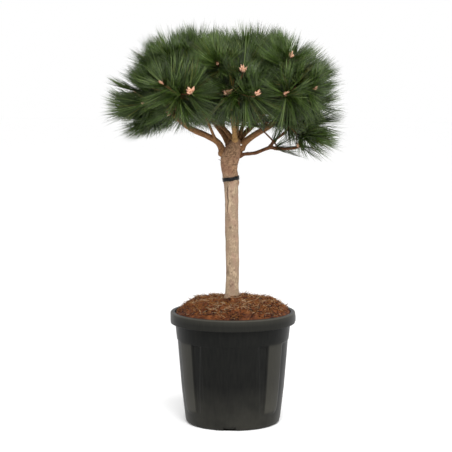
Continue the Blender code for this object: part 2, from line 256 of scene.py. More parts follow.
# %% [markdown]
# ## The lines of the limbs
# The construction model has every limb as a coarse tube. Its middle is found by fitting a smooth
# curve through all corners of the tube, which lie evenly round it. So the bark follows the frame
# wherever that is changed, and no route is written down twice. The stem is nearly upright, and
# level slices through its edges give its middle and its width.

# %% The lines of the limbs
FORK = np.array([0.006, 0.0, 0.800])  # where the stem divides
LINE_STEP = 0.0017  # between rings of bark
CURVE_DEGREE = 4
FIT_ROUNDS = 6
TRIAL_PLACES = 301


def corners_of(node):
    """The corners of a node's mesh, one row each."""
    mesh = nodes[node].data
    points = np.empty(len(mesh.vertices) * 3, np.float32)
    mesh.vertices.foreach_get("co", points)
    return points.reshape(-1, 3).astype(float)


def middle_line(node):
    """(points, radii) along the middle of a limb, from its carrier to its tip.

    A curve of the fourth degree in a corner's place along the limb is fitted to all corners. That
    place starts as the share of the way to the tip, and becomes the nearest point of the curve."""
    corners = np.unique(corners_of(node).round(6), axis=0)
    away = np.linalg.norm(corners - FORK, axis=1)
    foot, tip = corners[away.argmin()], corners[away.argmax()]
    chord = tip - foot
    place = (corners - foot) @ chord / (chord @ chord)
    trial = np.linspace(place.min(), place.max(), TRIAL_PLACES)
    for _ in range(FIT_ROUNDS):
        curve = np.polynomial.polynomial.polyfit(place, corners, CURVE_DEGREE)
        line = np.polynomial.polynomial.polyval(trial, curve).T
        gaps = np.linalg.norm(corners[:, None] - line, axis=2)
        place = trial[gaps.argmin(1)]
    taper = np.polyfit(place, gaps.min(1), 1)
    count = round(np.linalg.norm(chord) / LINE_STEP)
    steps = np.linspace(place.min(), place.max(), count)
    return np.polynomial.polynomial.polyval(steps, curve).T, np.polyval(taper, steps)


def stem_slices(node, step):
    """(points, radii) up the stem, from level slices: each takes the places where its edges cross
    the level, and has its middle and its radius from their lowest and highest x."""
    mesh = nodes[node].data
    corners = corners_of(node)
    edges = np.empty(len(mesh.edges) * 2, np.int32)
    mesh.edges.foreach_get("vertices", edges)
    low, high = (corners[edges.reshape(-1, 2)[:, end]] for end in (0, 1))
    levels = np.arange(corners[:, 2].min() + step / 2, corners[:, 2].max(), step)
    rise = high[:, 2] - low[:, 2]
    share = (levels[:, None] - low[:, 2]) / np.where(rise == 0, np.inf, rise)
    x = np.where((share > 0) & (share < 1), low[:, 0] + share * (high[:, 0] - low[:, 0]), np.nan)
    left, right = np.nanmin(x, axis=1), np.nanmax(x, axis=1)
    middle = np.stack([(left + right) / 2, np.zeros_like(levels), levels], axis=1)
    return middle, (right - left) / 2


LIMB_NAMES = sorted(name for name in nodes if name.startswith(("bough", "branch", "shoot")))
limb_lines = {name: middle_line(name) for name in LIMB_NAMES}
for name, (line, radii) in limb_lines.items():
    print(f"{name}: {radii[0] * 2000:.1f} to {radii[-1] * 2000:.1f} mm, tip at {line[-1].round(3)}")

# %% [markdown]
# ## Bark
# Young pine bark is thin cork over the stem. On the grafted top it keeps the pattern of the leaf
# scales, small lozenges in a net of brown cracks. On the older stock below it is worn smoother and
# greyer, with pits where twigs and needles stood. The relief is made in the mesh, as it catches
# the light at the stem's edge. The colour reads that relief: pale crests, dark cracks.

# %% Bark material
GRAFT_Z = 0.7055  # middle of the tape


def bark(name, crest, middle, crack, patches, above_graft=None):
    """Cork: no shine to speak of. The ramp goes by the mark named relief, and patches of a second
    colour, about 17 mm across, lie over it. A fine grain of 1.6 mm adds to colour and bump. Over
    the graft the stem may be tinted. The mark named scar darkens wounds."""
    material, shader = new_material(name, Roughness=0.88, Specular_IOR_Level=0.25)
    coordinates = add(material, "TexCoord", "Object")
    relief = add(material, "Attribute", "Fac", attribute_name="relief")
    grain = add(material, "TexNoise", "Fac", {"Vector": coordinates, "Scale": 1 / 0.0016, "Detail": 3.0})
    height = add(material, "Math", "Value", {0: grain, 1: 0.30, 2: relief}, operation="MULTIPLY_ADD")
    stops = [(0.30, crack), (0.52, middle), (0.66, middle), (0.88, crest)]
    colour = add(material, "ValToRGB", "Color", {"Fac": height}, stops)
    stretch = add(material, "Mapping", "Vector", {"Vector": coordinates, "Scale": (1.0, 1.0, 0.45)})
    patch = add(material, "TexNoise", "Fac", {"Vector": stretch, "Scale": 1 / 0.017, "Detail": 2.0})
    limits = {"Value": patch, "From Min": 0.46, "From Max": 0.66, "To Max": 0.6}
    share = add(material, "MapRange", "Result", limits)
    colour = add(material, "Mix", 2, {0: share, 6: colour, 7: linear(patches)}, data_type="RGBA")
    if above_graft:
        level = add(material, "SeparateXYZ", "Z", {"Vector": coordinates})
        limits = {"Value": level, "From Min": GRAFT_Z - 0.02, "From Max": GRAFT_Z + 0.02, "To Max": 0.6}
        share = add(material, "MapRange", "Result", limits)
        both = {0: share, 6: colour, 7: linear(above_graft)}
        colour = add(material, "Mix", 2, both, data_type="RGBA", blend_type="MULTIPLY")
    scar = add(material, "Attribute", "Fac", attribute_name="scar")
    colour = add(material, "Mix", 2, {0: scar, 6: colour, 7: linear("38271c")}, data_type="RGBA")
    bump = add(material, "Bump", "Normal", {"Height": grain, "Strength": 0.5, "Distance": 0.0006})
    connect(material, shader, Base_Color=colour, Normal=bump)
    return material


stem_bark = bark("young_cork_bark", "a8937a", "87745f", "4f3e2f", "8c7060", above_graft="c79a76")
bough_bark = bark("scaly_bough_bark", "84603f", "66462c", "33200f", "7a5836")
ochre_bark = bark("ochre_shoot_bark", "937247", "7a5a35", "452f1a", "86683e")
dark_bark = bark("dark_twig_bark", "66442c", "4a2f1c", "20120a", "5c3c24")
print("four kinds of bark")

# %% [markdown]
# ## The relief of the bark
# A tube's skin is a grid: one way goes along the limb, the other round it. Three fields are added
# to its radius. Broad swellings come first, then the net of cracks, which is where a stretched
# noise passes through zero, then a fine grain. The net's strength is told point by point, so that
# the grafted top is scaly and the stock below it smooth.

# %% The relief of the bark
CRACK_SIZE = 0.0065  # lozenges are about this wide, and half as long again
CRACK_STRETCH = 0.35  # share taken off the distance along the limb
CRACK_DEPTH = 0.0011
SWELLING_SIZES = (0.022, 0.010)
SWELLING_RISE = 0.0007
GRAIN_SIZE = 0.0024
GRAIN_RISE = 0.00035
MOST_RELIEF = 0.25  # share of a limb's radius


def skin(line, radii, sides):
    """Grid of points and outward directions of a tube: rows along the line, columns round it."""
    first, second = cross_axes(line)
    turn = (np.arange(sides) * math.tau / sides)[:, None]
    out = np.cos(turn) * first[:, None] + np.sin(turn) * second[:, None]
    return line[:, None] + radii[:, None, None] * out, out


def bark_relief(points, out, along, net, seed):
    """(height in metres, 0 to 1 relief) of the bark.

    The field is read at a point stretched along the limb and pushed outwards from its line, so that
    opposite sides differ. Cracks follow where the field is near zero."""
    spread = points + out * CRACK_SIZE
    squeezed = spread - along * (spread * along).sum(-1, keepdims=True) * CRACK_STRETCH
    broad, narrow = SWELLING_SIZES
    swelling = lumps(spread, broad, seed) + 0.5 * lumps(spread, narrow, seed + 1)
    cells = lumps(squeezed, CRACK_SIZE, seed + 2) + 0.4 * lumps(squeezed, CRACK_SIZE / 2, seed + 3)
    crest = eased(np.abs(cells), 0.02, 0.30)
    fine = lumps(spread, GRAIN_SIZE, seed + 4)
    relief = 0.25 + 0.55 * (net * crest + (1 - net) * (0.5 + 0.35 * swelling)) + 0.24 * fine
    height = SWELLING_RISE * swelling + CRACK_DEPTH * net * (crest - 0.6) + GRAIN_RISE * fine
    return height, relief


def bark_piece(name, line, radii, sides, material, net, seed, shape=None):
    """One limb's bark. shape may change the heights, the relief and the scar once they are known."""
    points, out = skin(line, radii, sides)
    along = unit(np.gradient(line, axis=0))[:, None]
    height, relief = bark_relief(points, out, along, net, seed)
    scar = np.zeros_like(relief)
    if shape:
        height, relief, scar = shape(points, out, height, relief, scar)
    points = points + out * np.minimum(height, MOST_RELIEF * radii[:, None])[..., None]
    piece = make_piece(name, points.reshape(-1, 3), grid_faces(*relief.shape), [material])
    mark(piece, "relief", relief)
    mark(piece, "scar", scar)
    return piece


print("cracks every", CRACK_SIZE * 1000, "mm")

# %% [markdown]
# ## The stem
# It carries a few marks that make it this one: a small flare where it leaves the mulch, a long
# healed cut on the left of its front under the graft, with a swelling on both sides, a crease
# over the graft on the right, and scattered pits. The graft itself swells on the right.

# %% The stem
STEM_STEP = 0.0016
STEM_SIDES = 84
SMOOTH_RINGS = 7
FLARE = 0.0016
FLARE_HEIGHT = 0.010
STOCK_NET = 0.12  # strength of the net of cracks under the graft
GRAFTED_NET = 0.75  # what the graft adds to it
CUT_ANGLE = -35.0  # degrees from the front, left is negative
CUT_Z = (0.600, 0.690)
CUT_DEPTH = 0.0022
CREASE_Z = 0.741
CREASE_DEPTH = 0.0016
KNOB_RISE = 0.0012  # beside the crease
GRAFT_BUMP_Z = 0.694
GRAFT_BUMP_RISE = 0.0022
PIT_DEPTH = 0.0011
PITS = (  # degrees from the front, height, radius in metres
    (-25, 0.462, 0.0026),
    (18, 0.443, 0.0024),
    (-48, 0.437, 0.0034),
    (-4, 0.437, 0.0018),
    (-62, 0.418, 0.0022),
    (4, 0.402, 0.0022),
    (-14, 0.397, 0.0024),
    (-22, 0.588, 0.0022),
    (20, 0.541, 0.0024),
    (-12, 0.566, 0.0026),
    (30, 0.572, 0.0020),
    (-4, 0.671, 0.0026),
    (8, 0.655, 0.0022),
)


def stem_marks(points, out, height, relief, scar):
    """Adds the cut, its swollen lips, the crease, the graft's bump and the pits."""
    z = points[..., 2]
    turn = np.degrees(np.arctan2(out[..., 0], -out[..., 1]))
    along_cut = eased(z, CUT_Z[0], CUT_Z[0] + 0.02) * (1 - eased(z, CUT_Z[1] - 0.015, CUT_Z[1]))
    off = turn - CUT_ANGLE - 4 * np.sin(z * 140)
    cut = along_cut * bell(off, 0, 4.5)
    lips = along_cut * (bell(off, 17, 12) + 0.6 * bell(off, -14, 9))
    height = height - CUT_DEPTH * cut + 0.5 * CUT_DEPTH * lips
    relief = relief - 0.5 * cut + 0.16 * lips
    scar = scar + 0.85 * cut
    dip = 0.006 * np.cos(np.radians(turn - 40))
    crease = bell(z - CREASE_Z - dip, 0, 0.0012) * bell(turn, 32, 26)
    knob = bell(z, CREASE_Z - 0.004, 0.004) * bell(turn, 62, 25)
    height = height - CREASE_DEPTH * crease + KNOB_RISE * knob
    scar = scar + 0.7 * crease
    bump = bell(z, GRAFT_BUMP_Z, 0.007) * bell(turn, 75, 35)
    height = height + GRAFT_BUMP_RISE * bump
    for angle, level, radius in PITS:
        way = np.radians(turn - angle)
        pit = bell(np.hypot(way * 0.0195, (z - level) * 0.8), 0, radius)
        height = height - PIT_DEPTH * pit
        scar = scar + 0.6 * pit
    return height, relief, np.clip(scar, 0, 1)


def stem_shape():
    """The stem's slices, smoothed over SMOOTH_RINGS to each side, with a foot that flares by
    FLARE and e times less for each FLARE_HEIGHT up."""
    line, radii = stem_slices("trunk", STEM_STEP)
    window = np.hanning(2 * SMOOTH_RINGS + 1)
    window /= window.sum()
    line[:, 0], radii = (
        np.convolve(np.pad(row, SMOOTH_RINGS, mode="edge"), window, "valid") for row in (line[:, 0], radii)
    )
    above = line[:, 2] - line[0, 2]
    return line, radii + FLARE * np.exp(-above / FLARE_HEIGHT)


stem_line, stem_radii = stem_shape()
grafted = eased(stem_line[:, 2], GRAFT_Z - 0.03, GRAFT_Z + 0.03)[:, None]
stem_net = grafted * GRAFTED_NET + STOCK_NET
stem = bark_piece("stem", stem_line, stem_radii, STEM_SIDES, stem_bark, stem_net, 11, stem_marks)
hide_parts("trunk")
print("stem", len(stem.data.polygons), "faces, up to", round(float(stem_line[-1, 2]), 3), "m")

# %% [markdown]
# ## The boughs
# A bough doesn't stick to its stem like a peg, it widens into a collar. So each line is led back
# to the middle of its carrier, and its radius grows there. The front bough is a bare ochre shoot,
# the thin low one is dark, and the others have the scaly bark of the grafted top.

# %% The boughs
COLLAR = 0.30  # share by which a limb widens where it leaves its carrier
LIMB_SIDES = 28
LIMB_NET = 0.75  # strength of the net of cracks
BARK_OF = {"bough_front": ochre_bark, "bough_low_right": dark_bark}
BARK_OF |= {name: dark_bark for name in LIMB_NAMES if name.startswith("branch_low")}


def led_back(name):
    """The limb's line with a straight stretch before it, from the nearest point in the middle of
    another limb or the stem, and its collar, which dies away along it."""
    skip = round(limb_lines[name][1][0] / LINE_STEP)
    line, radii = (part[skip:] for part in limb_lines[name])
    others = [other for key, (other, _) in limb_lines.items() if key != name]
    middles = np.vstack([stem_line, *others])
    carrier = middles[np.linalg.norm(middles - line[0], axis=1).argmin()]
    back = max(np.linalg.norm(carrier - line[0]), LINE_STEP)
    count = max(2, round(back / LINE_STEP))
    way = unit(carrier - line[0])
    start = line[0] + way * np.linspace(back, back / count, count)[:, None]
    line = np.vstack([start, line])
    radii = np.concatenate([np.full(count, radii[0]), radii])
    steps = np.linalg.norm(np.diff(line, axis=0, prepend=line[:1]), axis=1)
    run = np.maximum(np.cumsum(steps) - back, 0)
    return line, radii * (1 + COLLAR * np.exp(-run / (1.6 * radii[0])))


for seed, name in enumerate(LIMB_NAMES):
    line, radii = led_back(name)
    cork = BARK_OF.get(name, bough_bark)
    piece = bark_piece(f"bark_{name}", line, radii, LIMB_SIDES, cork, LIMB_NET, 40 + 5 * seed)
    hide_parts(name)
print(len(LIMB_NAMES), "limbs have their bark")

# %% [markdown]
# ## The crown's plan
# The branching rule needs to know where shoots end. Rays from far outside towards the crown's core
# meet the construction model's foliage masses, which give the crown's true outline, and name the
# mass that each shoot belongs to. The shoot's bud lies inside that point, by less than a needle's
# length. The shoots whose bud clusters show in front are listed one by one, and no other shoot
# stands before them.

# %% The crown's plan
MASSES = sorted(name for name in nodes if name.startswith("foliage"))
CROWN = np.array([-0.022, 0.0, 0.900])  # middle of the crown's flat core
CORE_RADIUS = 0.105  # shoots over the core stand upright, those past it lean outwards
NEEDLE = 0.112  # mean length in metres
REACH = 0.080  # from a bud to the outline
SHOOT_RAYS = 215
SEEN_SHOOTS = (  # bud's place, heading and climb in degrees, size of the bud cluster
    ((-0.0156, -0.150, 0.949), 262, 68, 1.9),
    ((-0.1155, -0.205, 0.955), 245, 38, 1.6),
    ((0.0275, -0.170, 1.012), 272, 62, 1.5),
    ((0.0645, -0.205, 0.950), 300, 44, 1.3),
    ((0.1420, -0.200, 0.949), 312, 36, 1.1),
    ((-0.1910, -0.195, 0.977), 218, 36, 1.2),
    ((0.1570, -0.130, 1.052), 325, 60, 1.3),
    ((0.2220, -0.150, 0.963), 325, 34, 1.1),
    ((-0.1740, -0.150, 0.897), 205, 14, 1.0),
)
SEEN_BUDS = np.array([place for place, *_ in SEEN_SHOOTS])
SEEN_CLEAR = 0.072  # how far other shoots keep from those, seen from the front
FRONT_Y = -0.09  # shoots behind this don't stand before the listed ones
SINE_SPAN = 1.40  # the sines of the rays' climbs fall from 1 by this much
GOLDEN_ANGLE = 137.508
RAY_START = 0.8
BARE_Z = 0.90  # no shoots end under this height within BARE_R of the middle
BARE_R = 0.17
crown_rng = np.random.default_rng(20)


def way_of(heading, climb):
    """The direction at this heading from +X towards +Y and this climb, both in degrees."""
    heading, climb = np.radians(heading), np.radians(climb)
    return np.stack(
        [np.cos(climb) * np.cos(heading), np.cos(climb) * np.sin(heading), np.sin(climb)], axis=-1
    )


def growing_way(points):
    """Shoots grow away from the crown's flat core: outwards past its rim, and up from its plane."""
    flat = (points - CROWN) * (1, 1, 0)
    out = np.linalg.norm(flat, axis=-1, keepdims=True)
    leaning = unit(flat) * (np.maximum(out - CORE_RADIUS, 0) + 0.16 * out)
    return unit(leaning + (points - CROWN) * (0, 0, 1) + (0, 0, 0.012))


def outline_point(way):
    """(point, mass) where a ray from far outside first meets a foliage mass, or None."""
    start = Vector(CROWN + way * RAY_START)
    hits = []
    for name in MASSES:
        met, point, _, _ = nodes[name].ray_cast(start, Vector(-way))
        if met:
            hits.append(((point - start).length, np.array(point), name))
    return min(hits, key=lambda hit: hit[0])[1:] if hits else None


def nearest_mass(point):
    """The mass whose box has its middle nearest to the point."""
    middles = {name: np.mean([list(corner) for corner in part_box(name)], axis=0) for name in MASSES}
    return min(middles, key=lambda name: np.linalg.norm(middles[name] - point))


def plan_shoots():
    """Lists (bud, way, mass, bud size): the seen ones, then one for each ray that finds its place,
    evenly spread round the crown by the golden angle, from straight up to under the level."""
    shoots = [
        (np.array(place), way_of(heading, climb), nearest_mass(place), size)
        for place, heading, climb, size in SEEN_SHOOTS
    ]
    share = (np.arange(SHOOT_RAYS) + 0.5) / SHOOT_RAYS
    climbs = np.degrees(np.arcsin(1 - share * SINE_SPAN))
    headings = np.arange(SHOOT_RAYS) * GOLDEN_ANGLE
    for heading, climb in zip(headings, climbs):
        jitter = crown_rng.normal(0, 4, 2)
        found = outline_point(way_of(heading + jitter[0], climb + jitter[1]))
        if found is None:
            continue
        point, mass = found
        way = unit(growing_way(point) + crown_rng.normal(0, 0.10, 3))
        bud = point - way * REACH * crown_rng.uniform(0.92, 1.12)
        if bud[2] < BARE_Z and np.hypot(*(bud - CROWN)[:2]) < BARE_R:
            continue
        clear = np.linalg.norm((SEEN_BUDS - bud)[:, [0, 2]], axis=1).min()
        if bud[1] < FRONT_Y and clear < SEEN_CLEAR:
            continue
        shoots.append((bud, way, mass, crown_rng.uniform(0.6, 1.0)))
    return shoots


shoots = plan_shoots()
for mass in MASSES:
    print(mass, sum(shoot[2] == mass for shoot in shoots), "shoots")

# %% [markdown]
# ## The branching rule
# The shoots of a mass are shared among the nearest limb ends. From each end, its shoots are split
# in two, again and again, across the direction in which their buds lie furthest apart. A twig runs
# from each division part of the way to the middle of its group. So twigs seldom cross, and each
# bud is reached. A twig's thickness grows with the number of shoots that it feeds.

# %% The branching rule
SHOOT_R = 0.0023
THICKEST_TWIG_R = 0.0046
FEEDING_POWER = 0.36  # a twig's radius grows as the number of its shoots to this power
TWIG_POINTS = 11
TWIG_SIDES = 7
DIVIDES_AT = (0.30, 0.46)  # share of the way to its group's middle at which a twig divides
DIVIDES_OFF = 0.004  # and how far that place strays
BEHIND_BUD = 0.05  # a shoot belongs to the limb end nearest to the point this far behind its bud
END_RINGS = 8  # a limb's last way is taken over these rings
limb_ends = {
    name: (line[-1], unit(line[-1] - line[-END_RINGS])) for name, (line, _) in limb_lines.items()
}
twigs = []  # start, way at the start, end, way at the end, shoots fed, mass, is a last one


def grow(start, way, buds, ways, mass):
    """Adds the twigs from start to all these buds."""
    fed = len(buds)
    if fed == 1:
        twigs.append((start, way, buds[0], ways[0], fed, mass, True))
        return
    middle = buds.mean(0)
    onward = unit(middle - start)
    node = start + (middle - start) * crown_rng.uniform(*DIVIDES_AT)
    node = node + crown_rng.normal(0, DIVIDES_OFF, 3)
    twigs.append((start, way, node, onward, fed, mass, False))
    widest = np.linalg.svd(buds - middle)[2][0]
    side = (buds - middle) @ widest > 0
    for half in (side, ~side):
        if half.any():
            grow(node, onward, buds[half], ways[half], mass)


def grow_mass(mass):
    """Shares the mass's shoots among the limbs' ends, each to the nearest, and grows them."""
    own = [shoot for shoot in shoots if shoot[2] == mass]
    buds = np.array([shoot[0] for shoot in own])
    ways = np.array([shoot[1] for shoot in own])
    names = list(limb_ends)
    ends = np.array([limb_ends[name][0] for name in names])
    behind = buds - ways * BEHIND_BUD
    nearest = np.linalg.norm(behind[:, None] - ends, axis=2).argmin(1)
    for index in np.unique(nearest):
        chosen = nearest == index
        end, way = limb_ends[names[index]]
        grow(end, way, buds[chosen], ways[chosen], mass)


for mass in MASSES:
    grow_mass(mass)
last = np.array([twig[6] for twig in twigs])
print(len(twigs), "twigs, of which", int(last.sum()), "end in a bud")

# %% [markdown]
# ## Twigs
# A twig's line bends smoothly from the way it starts to the way it ends. Where needles have
# fallen, the shoot keeps their scars as small scales, so the radius wavers along it.

# %% Twigs
def bent(starts, start_ways, ends, end_ways, count):
    """Lines from starts to ends that leave and arrive along the given ways: cubic curves whose end
    speeds are the straight distance."""
    t = np.linspace(0, 1, count)[None, :, None]
    pull = np.linalg.norm(ends - starts, axis=1)[:, None, None]
    stay = 2 * t**3 - 3 * t**2 + 1
    leave = t**3 - 2 * t**2 + t
    arrive = t**3 - t**2
    line = stay * starts[:, None] + (1 - stay) * ends[:, None]
    return line + pull * (leave * start_ways[:, None] + arrive * end_ways[:, None])


twig_starts, twig_start_ways, twig_ends, twig_end_ways = (
    np.array([twig[i] for twig in twigs]) for i in range(4)
)
fed = np.array([twig[4] for twig in twigs])
twig_lines = bent(twig_starts, twig_start_ways, twig_ends, twig_end_ways, TWIG_POINTS)
twig_lengths = np.linalg.norm(np.diff(twig_lines, axis=1), axis=2).sum(1)
thick = np.minimum(SHOOT_R * fed**FEEDING_POWER, THICKEST_TWIG_R)
taper = np.linspace(1.12, 0.92, TWIG_POINTS)
wavering = 1 + 0.13 * np.random.default_rng(31).normal(size=twig_lines.shape[:2])
points, faces = tubes(twig_lines, thick[:, None] * taper * wavering, TWIG_SIDES)
twig_piece = make_piece("twigs", points, faces, [dark_bark])
mark(twig_piece, "relief", 0.55 + 0.35 * lumps(points, 0.005, 33))
print("twigs", len(twig_piece.data.polygons), "faces, mean length", twig_lengths.mean().round(3), "m")

# %% [markdown]
# ## Needles
# Austrian pine carries its needles in pairs, 9 to 14 cm long and under 2 mm thick, stiff and a
# little bent. On a shoot they stand round it in a brush: close to its direction at the bud, wider
# further back. Each needle is a three-sided prism with two bends and a point, sixteen triangles.
# The pairs are dealt out to a handful of plain greens by shoot, so that the colours stay crisp
# when the model is exported. On a shoot the pairs stand in locks, as the wind and their own weight
# leave them, and the dark gaps between the locks are what makes the crown look like pine.

# %% Needle materials
def needle_wax(name, code, roughness):
    """A needle's skin is waxed: a soft narrow gleam along it, at the usual index of 1.45."""
    material, _ = new_material(name, Base_Color=linear(code), Roughness=roughness, IOR=1.45)
    return material


needle_kinds = [
    needle_wax("needle_deep_green", "202e0a", 0.40),
    needle_wax("needle_green", "324413", 0.38),
    needle_wax("needle_fresh_green", "435a1d", 0.38),
    needle_wax("needle_pale_underside", "687b40", 0.42),
    needle_wax("needle_olive", "5c5a22", 0.45),
    needle_wax("needle_straw", "8a7636", 0.55),
]
SHOOT_SHARES = np.array(  # how each sort of shoot deals its pairs to the kinds
    [
        [0.50, 0.36, 0.08, 0.04, 0.02, 0.00],
        [0.22, 0.46, 0.22, 0.08, 0.02, 0.00],
        [0.08, 0.36, 0.40, 0.14, 0.02, 0.00],
        [0.20, 0.26, 0.10, 0.06, 0.30, 0.08],
    ]
)
print(len(needle_kinds), "kinds of needle")

# %% Needles
PAIRS_PER_M = 2150
LEAST_BRUSH = 0.072  # a short last twig still carries this length's needles
INNER_PAIRS_PER_M = 520
SHOOT_SPREAD = (20, 62)  # degrees from the shoot, at its bud and far behind it
INNER_SPREAD = (48, 70)
SPREAD_RUN = 0.09
PAIR_PARTING = 3.2  # degrees between a needle and its pair's middle
NEEDLE_R = 0.00095
NEEDLE_SIDES = 3
LOCKS = 15  # bundles of nearly parallel needles on a shoot
LOCK_LENGTH = 0.045  # how far its needles' feet stray, as a share of the twig
LOCK_SPREAD = 8  # degrees by which the locks' spreads differ
LOCK_TURN = 0.17  # radians by which a lock's needles differ round the twig
NEARLY_UP = (0.02, 0.01, 1.0)  # a little off the vertical, so that no shoot is parallel to it
SEEN_OPEN = 26  # degrees by which the needles of the shoots seen in front spread further
NEEDLE_POINTS = 4
needle_rng = np.random.default_rng(50)


def on_lines(lines, index, share):
    """Points and directions at a share of each line."""
    at = share * (lines.shape[1] - 1)
    low = np.minimum(at.astype(int), lines.shape[1] - 2)
    part = (at - low)[:, None]
    first, second = lines[index, low], lines[index, low + 1]
    return first * (1 - part) + second * part, unit(second - first)


def pairs_on(chosen, per_metre, least):
    """Deals needle pairs to the chosen twigs by their length. Returns each pair's twig, its share
    of the way along it, with more of them towards the bud, and its lock."""
    lengths = np.maximum(twig_lengths[chosen], least)
    counts = np.round(lengths * per_metre).astype(int)
    index = np.repeat(np.flatnonzero(chosen), counts)
    lock = needle_rng.integers(0, LOCKS, len(index))
    share = lock_shares[index, lock] + needle_rng.normal(0, LOCK_LENGTH, len(index))
    return index, np.clip(share, 0, 1), lock


lock_shares = needle_rng.uniform(0, 1, (len(twigs), LOCKS)) ** 0.8
lock_turns = needle_rng.uniform(0, math.tau, (len(twigs), LOCKS))
lock_spreads = needle_rng.normal(0, LOCK_SPREAD, (len(twigs), LOCKS))
seen_twig = last & (np.linalg.norm(twig_ends[:, None] - SEEN_BUDS, axis=2).min(1) < 1e-6)


def needles_of(index, share, lock, spread_near, spread_far):
    """Lines of both needles of each pair.

    A pair leaves its twig at an angle that widens from spread_near at the bud to spread_far at
    SPREAD_RUN behind it. Pairs of one lock share a place on the twig, a turn round it and a change
    of that angle, with small differences. The two needles part by a few degrees. A needle's
    direction turns evenly from its first to its last, which lies nearer to the shoot's and up."""
    feet, along = on_lines(twig_lines, index, share)
    behind = (1 - share) * twig_lengths[index]
    spread = spread_near + (spread_far - spread_near) * np.clip(behind / SPREAD_RUN, 0, 1) ** 0.7
    spread = spread + lock_spreads[index, lock] + SEEN_OPEN * seen_twig[index]
    spread = np.radians(np.clip(spread + needle_rng.normal(0, 4, len(index)), 6, 84))[:, None]
    level = unit(np.cross(along, NEARLY_UP))
    turn = (lock_turns[index, lock] + needle_rng.normal(0, LOCK_TURN, len(index)))[:, None]
    round_it = np.cos(turn) * level + np.sin(turn) * np.cross(along, level)
    ways = np.cos(spread) * along + np.sin(spread) * round_it
    part = unit(np.cross(ways, needle_rng.normal(size=ways.shape))) * np.radians(PAIR_PARTING)
    length = NEEDLE * needle_rng.normal(1.0, 0.09, len(index))
    length = length * (0.86 + 0.14 * np.clip(behind / 0.03, 0, 1))
    first = unit(np.concatenate([ways + part, ways - part]))
    lean = 0.20 * np.tile(along, (2, 1)) + 0.10 * np.array((0, 0, 1.0))
    final = unit(first + lean + needle_rng.normal(0, 0.09, first.shape))
    t = np.linspace(0, 1, NEEDLE_POINTS)[None, :, None]
    run = t * first[:, None] + t * t / 2 * (final - first)[:, None]
    return np.tile(feet, (2, 1))[:, None] + np.tile(length, 2)[:, None, None] * run


def kinds_of(index, shares):
    """Draws a kind for each pair from its twig's row of shares, given to both needles."""
    draw = needle_rng.uniform(0, 1, len(index))[:, None]
    kind = (draw > np.cumsum(shares[index], axis=1)).sum(1)
    return np.tile(np.minimum(kind, len(needle_kinds) - 1), 2)


sort_of_twig = needle_rng.choice(3, len(twigs), p=(0.3, 0.45, 0.25))
sort_of_twig[~last] = 3
shares_of_twig = SHOOT_SHARES[sort_of_twig]
brushes = [
    (pairs_on(last, PAIRS_PER_M, LEAST_BRUSH), SHOOT_SPREAD),
    (pairs_on(~last, INNER_PAIRS_PER_M, 0.0), INNER_SPREAD),
]
parts = []
for (index, share, lock), spreads in brushes:
    lines = needles_of(index, share, lock, *spreads)
    parts.append((lines, np.tile(index, 2), kinds_of(index, shares_of_twig)))
needle_lines, needle_twigs, needle_tints = map(np.concatenate, zip(*parts))
print(len(needle_lines), "needles before trimming")

# %% [markdown]
# ## Trimming and joining
# Under the crown's middle the tree is bare, and the photo shows sky between the boughs there. So
# needles that would hang into that space are left out, and the few that reach far past the frame.
# The rest are joined, mass by mass, into pieces that take the masses' places.

# %% Trimming and joining
UNDERSIDE_Z = 0.845  # needles may hang to here under the middle
RIM_DROP = 0.035  # and lower towards the rim
RIM_RUN = (0.10, 0.30)  # distances from the middle over which they do
RIGHT_DROP = 0.055  # and lower still on the right, where the low bough carries them
RIGHT_RUN = (0.10, 0.20)
OVER_BOX = 0.020  # how far past the construction model's box a needle may reach
masses_of_twigs = np.array([twig[5] for twig in twigs])


def belongs(lines):
    """Whether a needle's lower end stays over a shallow bowl, level in the middle, lower outside
    and lowest on the right, and its tip stays near the construction model's box."""
    tips = lines[:, -1]
    lowest = np.minimum(lines[:, 0, 2], tips[:, 2])
    out = np.hypot(*(tips - CROWN)[:, :2].T)
    bowl = UNDERSIDE_Z - RIM_DROP * eased(out, *RIM_RUN) - RIGHT_DROP * eased(tips[:, 0], *RIGHT_RUN)
    low, high = np.array(cad_box)
    boxed = ((tips > low - OVER_BOX) & (tips < high + OVER_BOX)).all(1)
    return (lowest > bowl) & boxed


kept = belongs(needle_lines)
needle_lines, needle_twigs, needle_tints = needle_lines[kept], needle_twigs[kept], needle_tints[kept]
profile = np.array([0.85, 1.0, 0.72, 0.0]) * NEEDLE_R
for mass in MASSES:
    own = masses_of_twigs[needle_twigs] == mass
    lines = needle_lines[own]
    points, faces = tubes(lines, np.broadcast_to(profile, lines.shape[:2]), NEEDLE_SIDES, flat=0.75)
    tints = tube_tints(needle_tints[own], faces)
    piece = make_piece(mass.replace("foliage", "needles"), points, faces, needle_kinds, tints)
    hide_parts(mass)
    print(piece.name, len(lines), "needles")
print(len(needle_lines), "needles in all")

# %% [markdown]
# ## Buds
# Each shoot ends in a fat bud with smaller ones round it, rose-brown under a crust of pale resin.
# Every bud is a spindle: a tube whose radius swells and closes.

# %% Buds
BUD_LENGTH = 0.0140
BUD_R = 0.0031
BUD_SIDES = 7
BUD_PROFILE = np.array([0.55, 0.95, 1.0, 0.86, 0.55, 0.22, 0.0])
bud_rng = np.random.default_rng(60)


def bud_resin(name, rose, resin):
    """Papery rose scales under dried resin: a noise of 3 mm mixes the two, with a little shine."""
    material, shader = new_material(name, Roughness=0.5, IOR=1.5)
    coordinates = add(material, "TexCoord", "Object")
    crust = add(material, "TexNoise", "Fac", {"Vector": coordinates, "Scale": 1 / 0.0028, "Detail": 2.0})
    colour = add(material, "ValToRGB", "Color", {"Fac": crust}, [(0.38, rose), (0.56, resin)])
    connect(material, shader, Base_Color=colour)
    return material


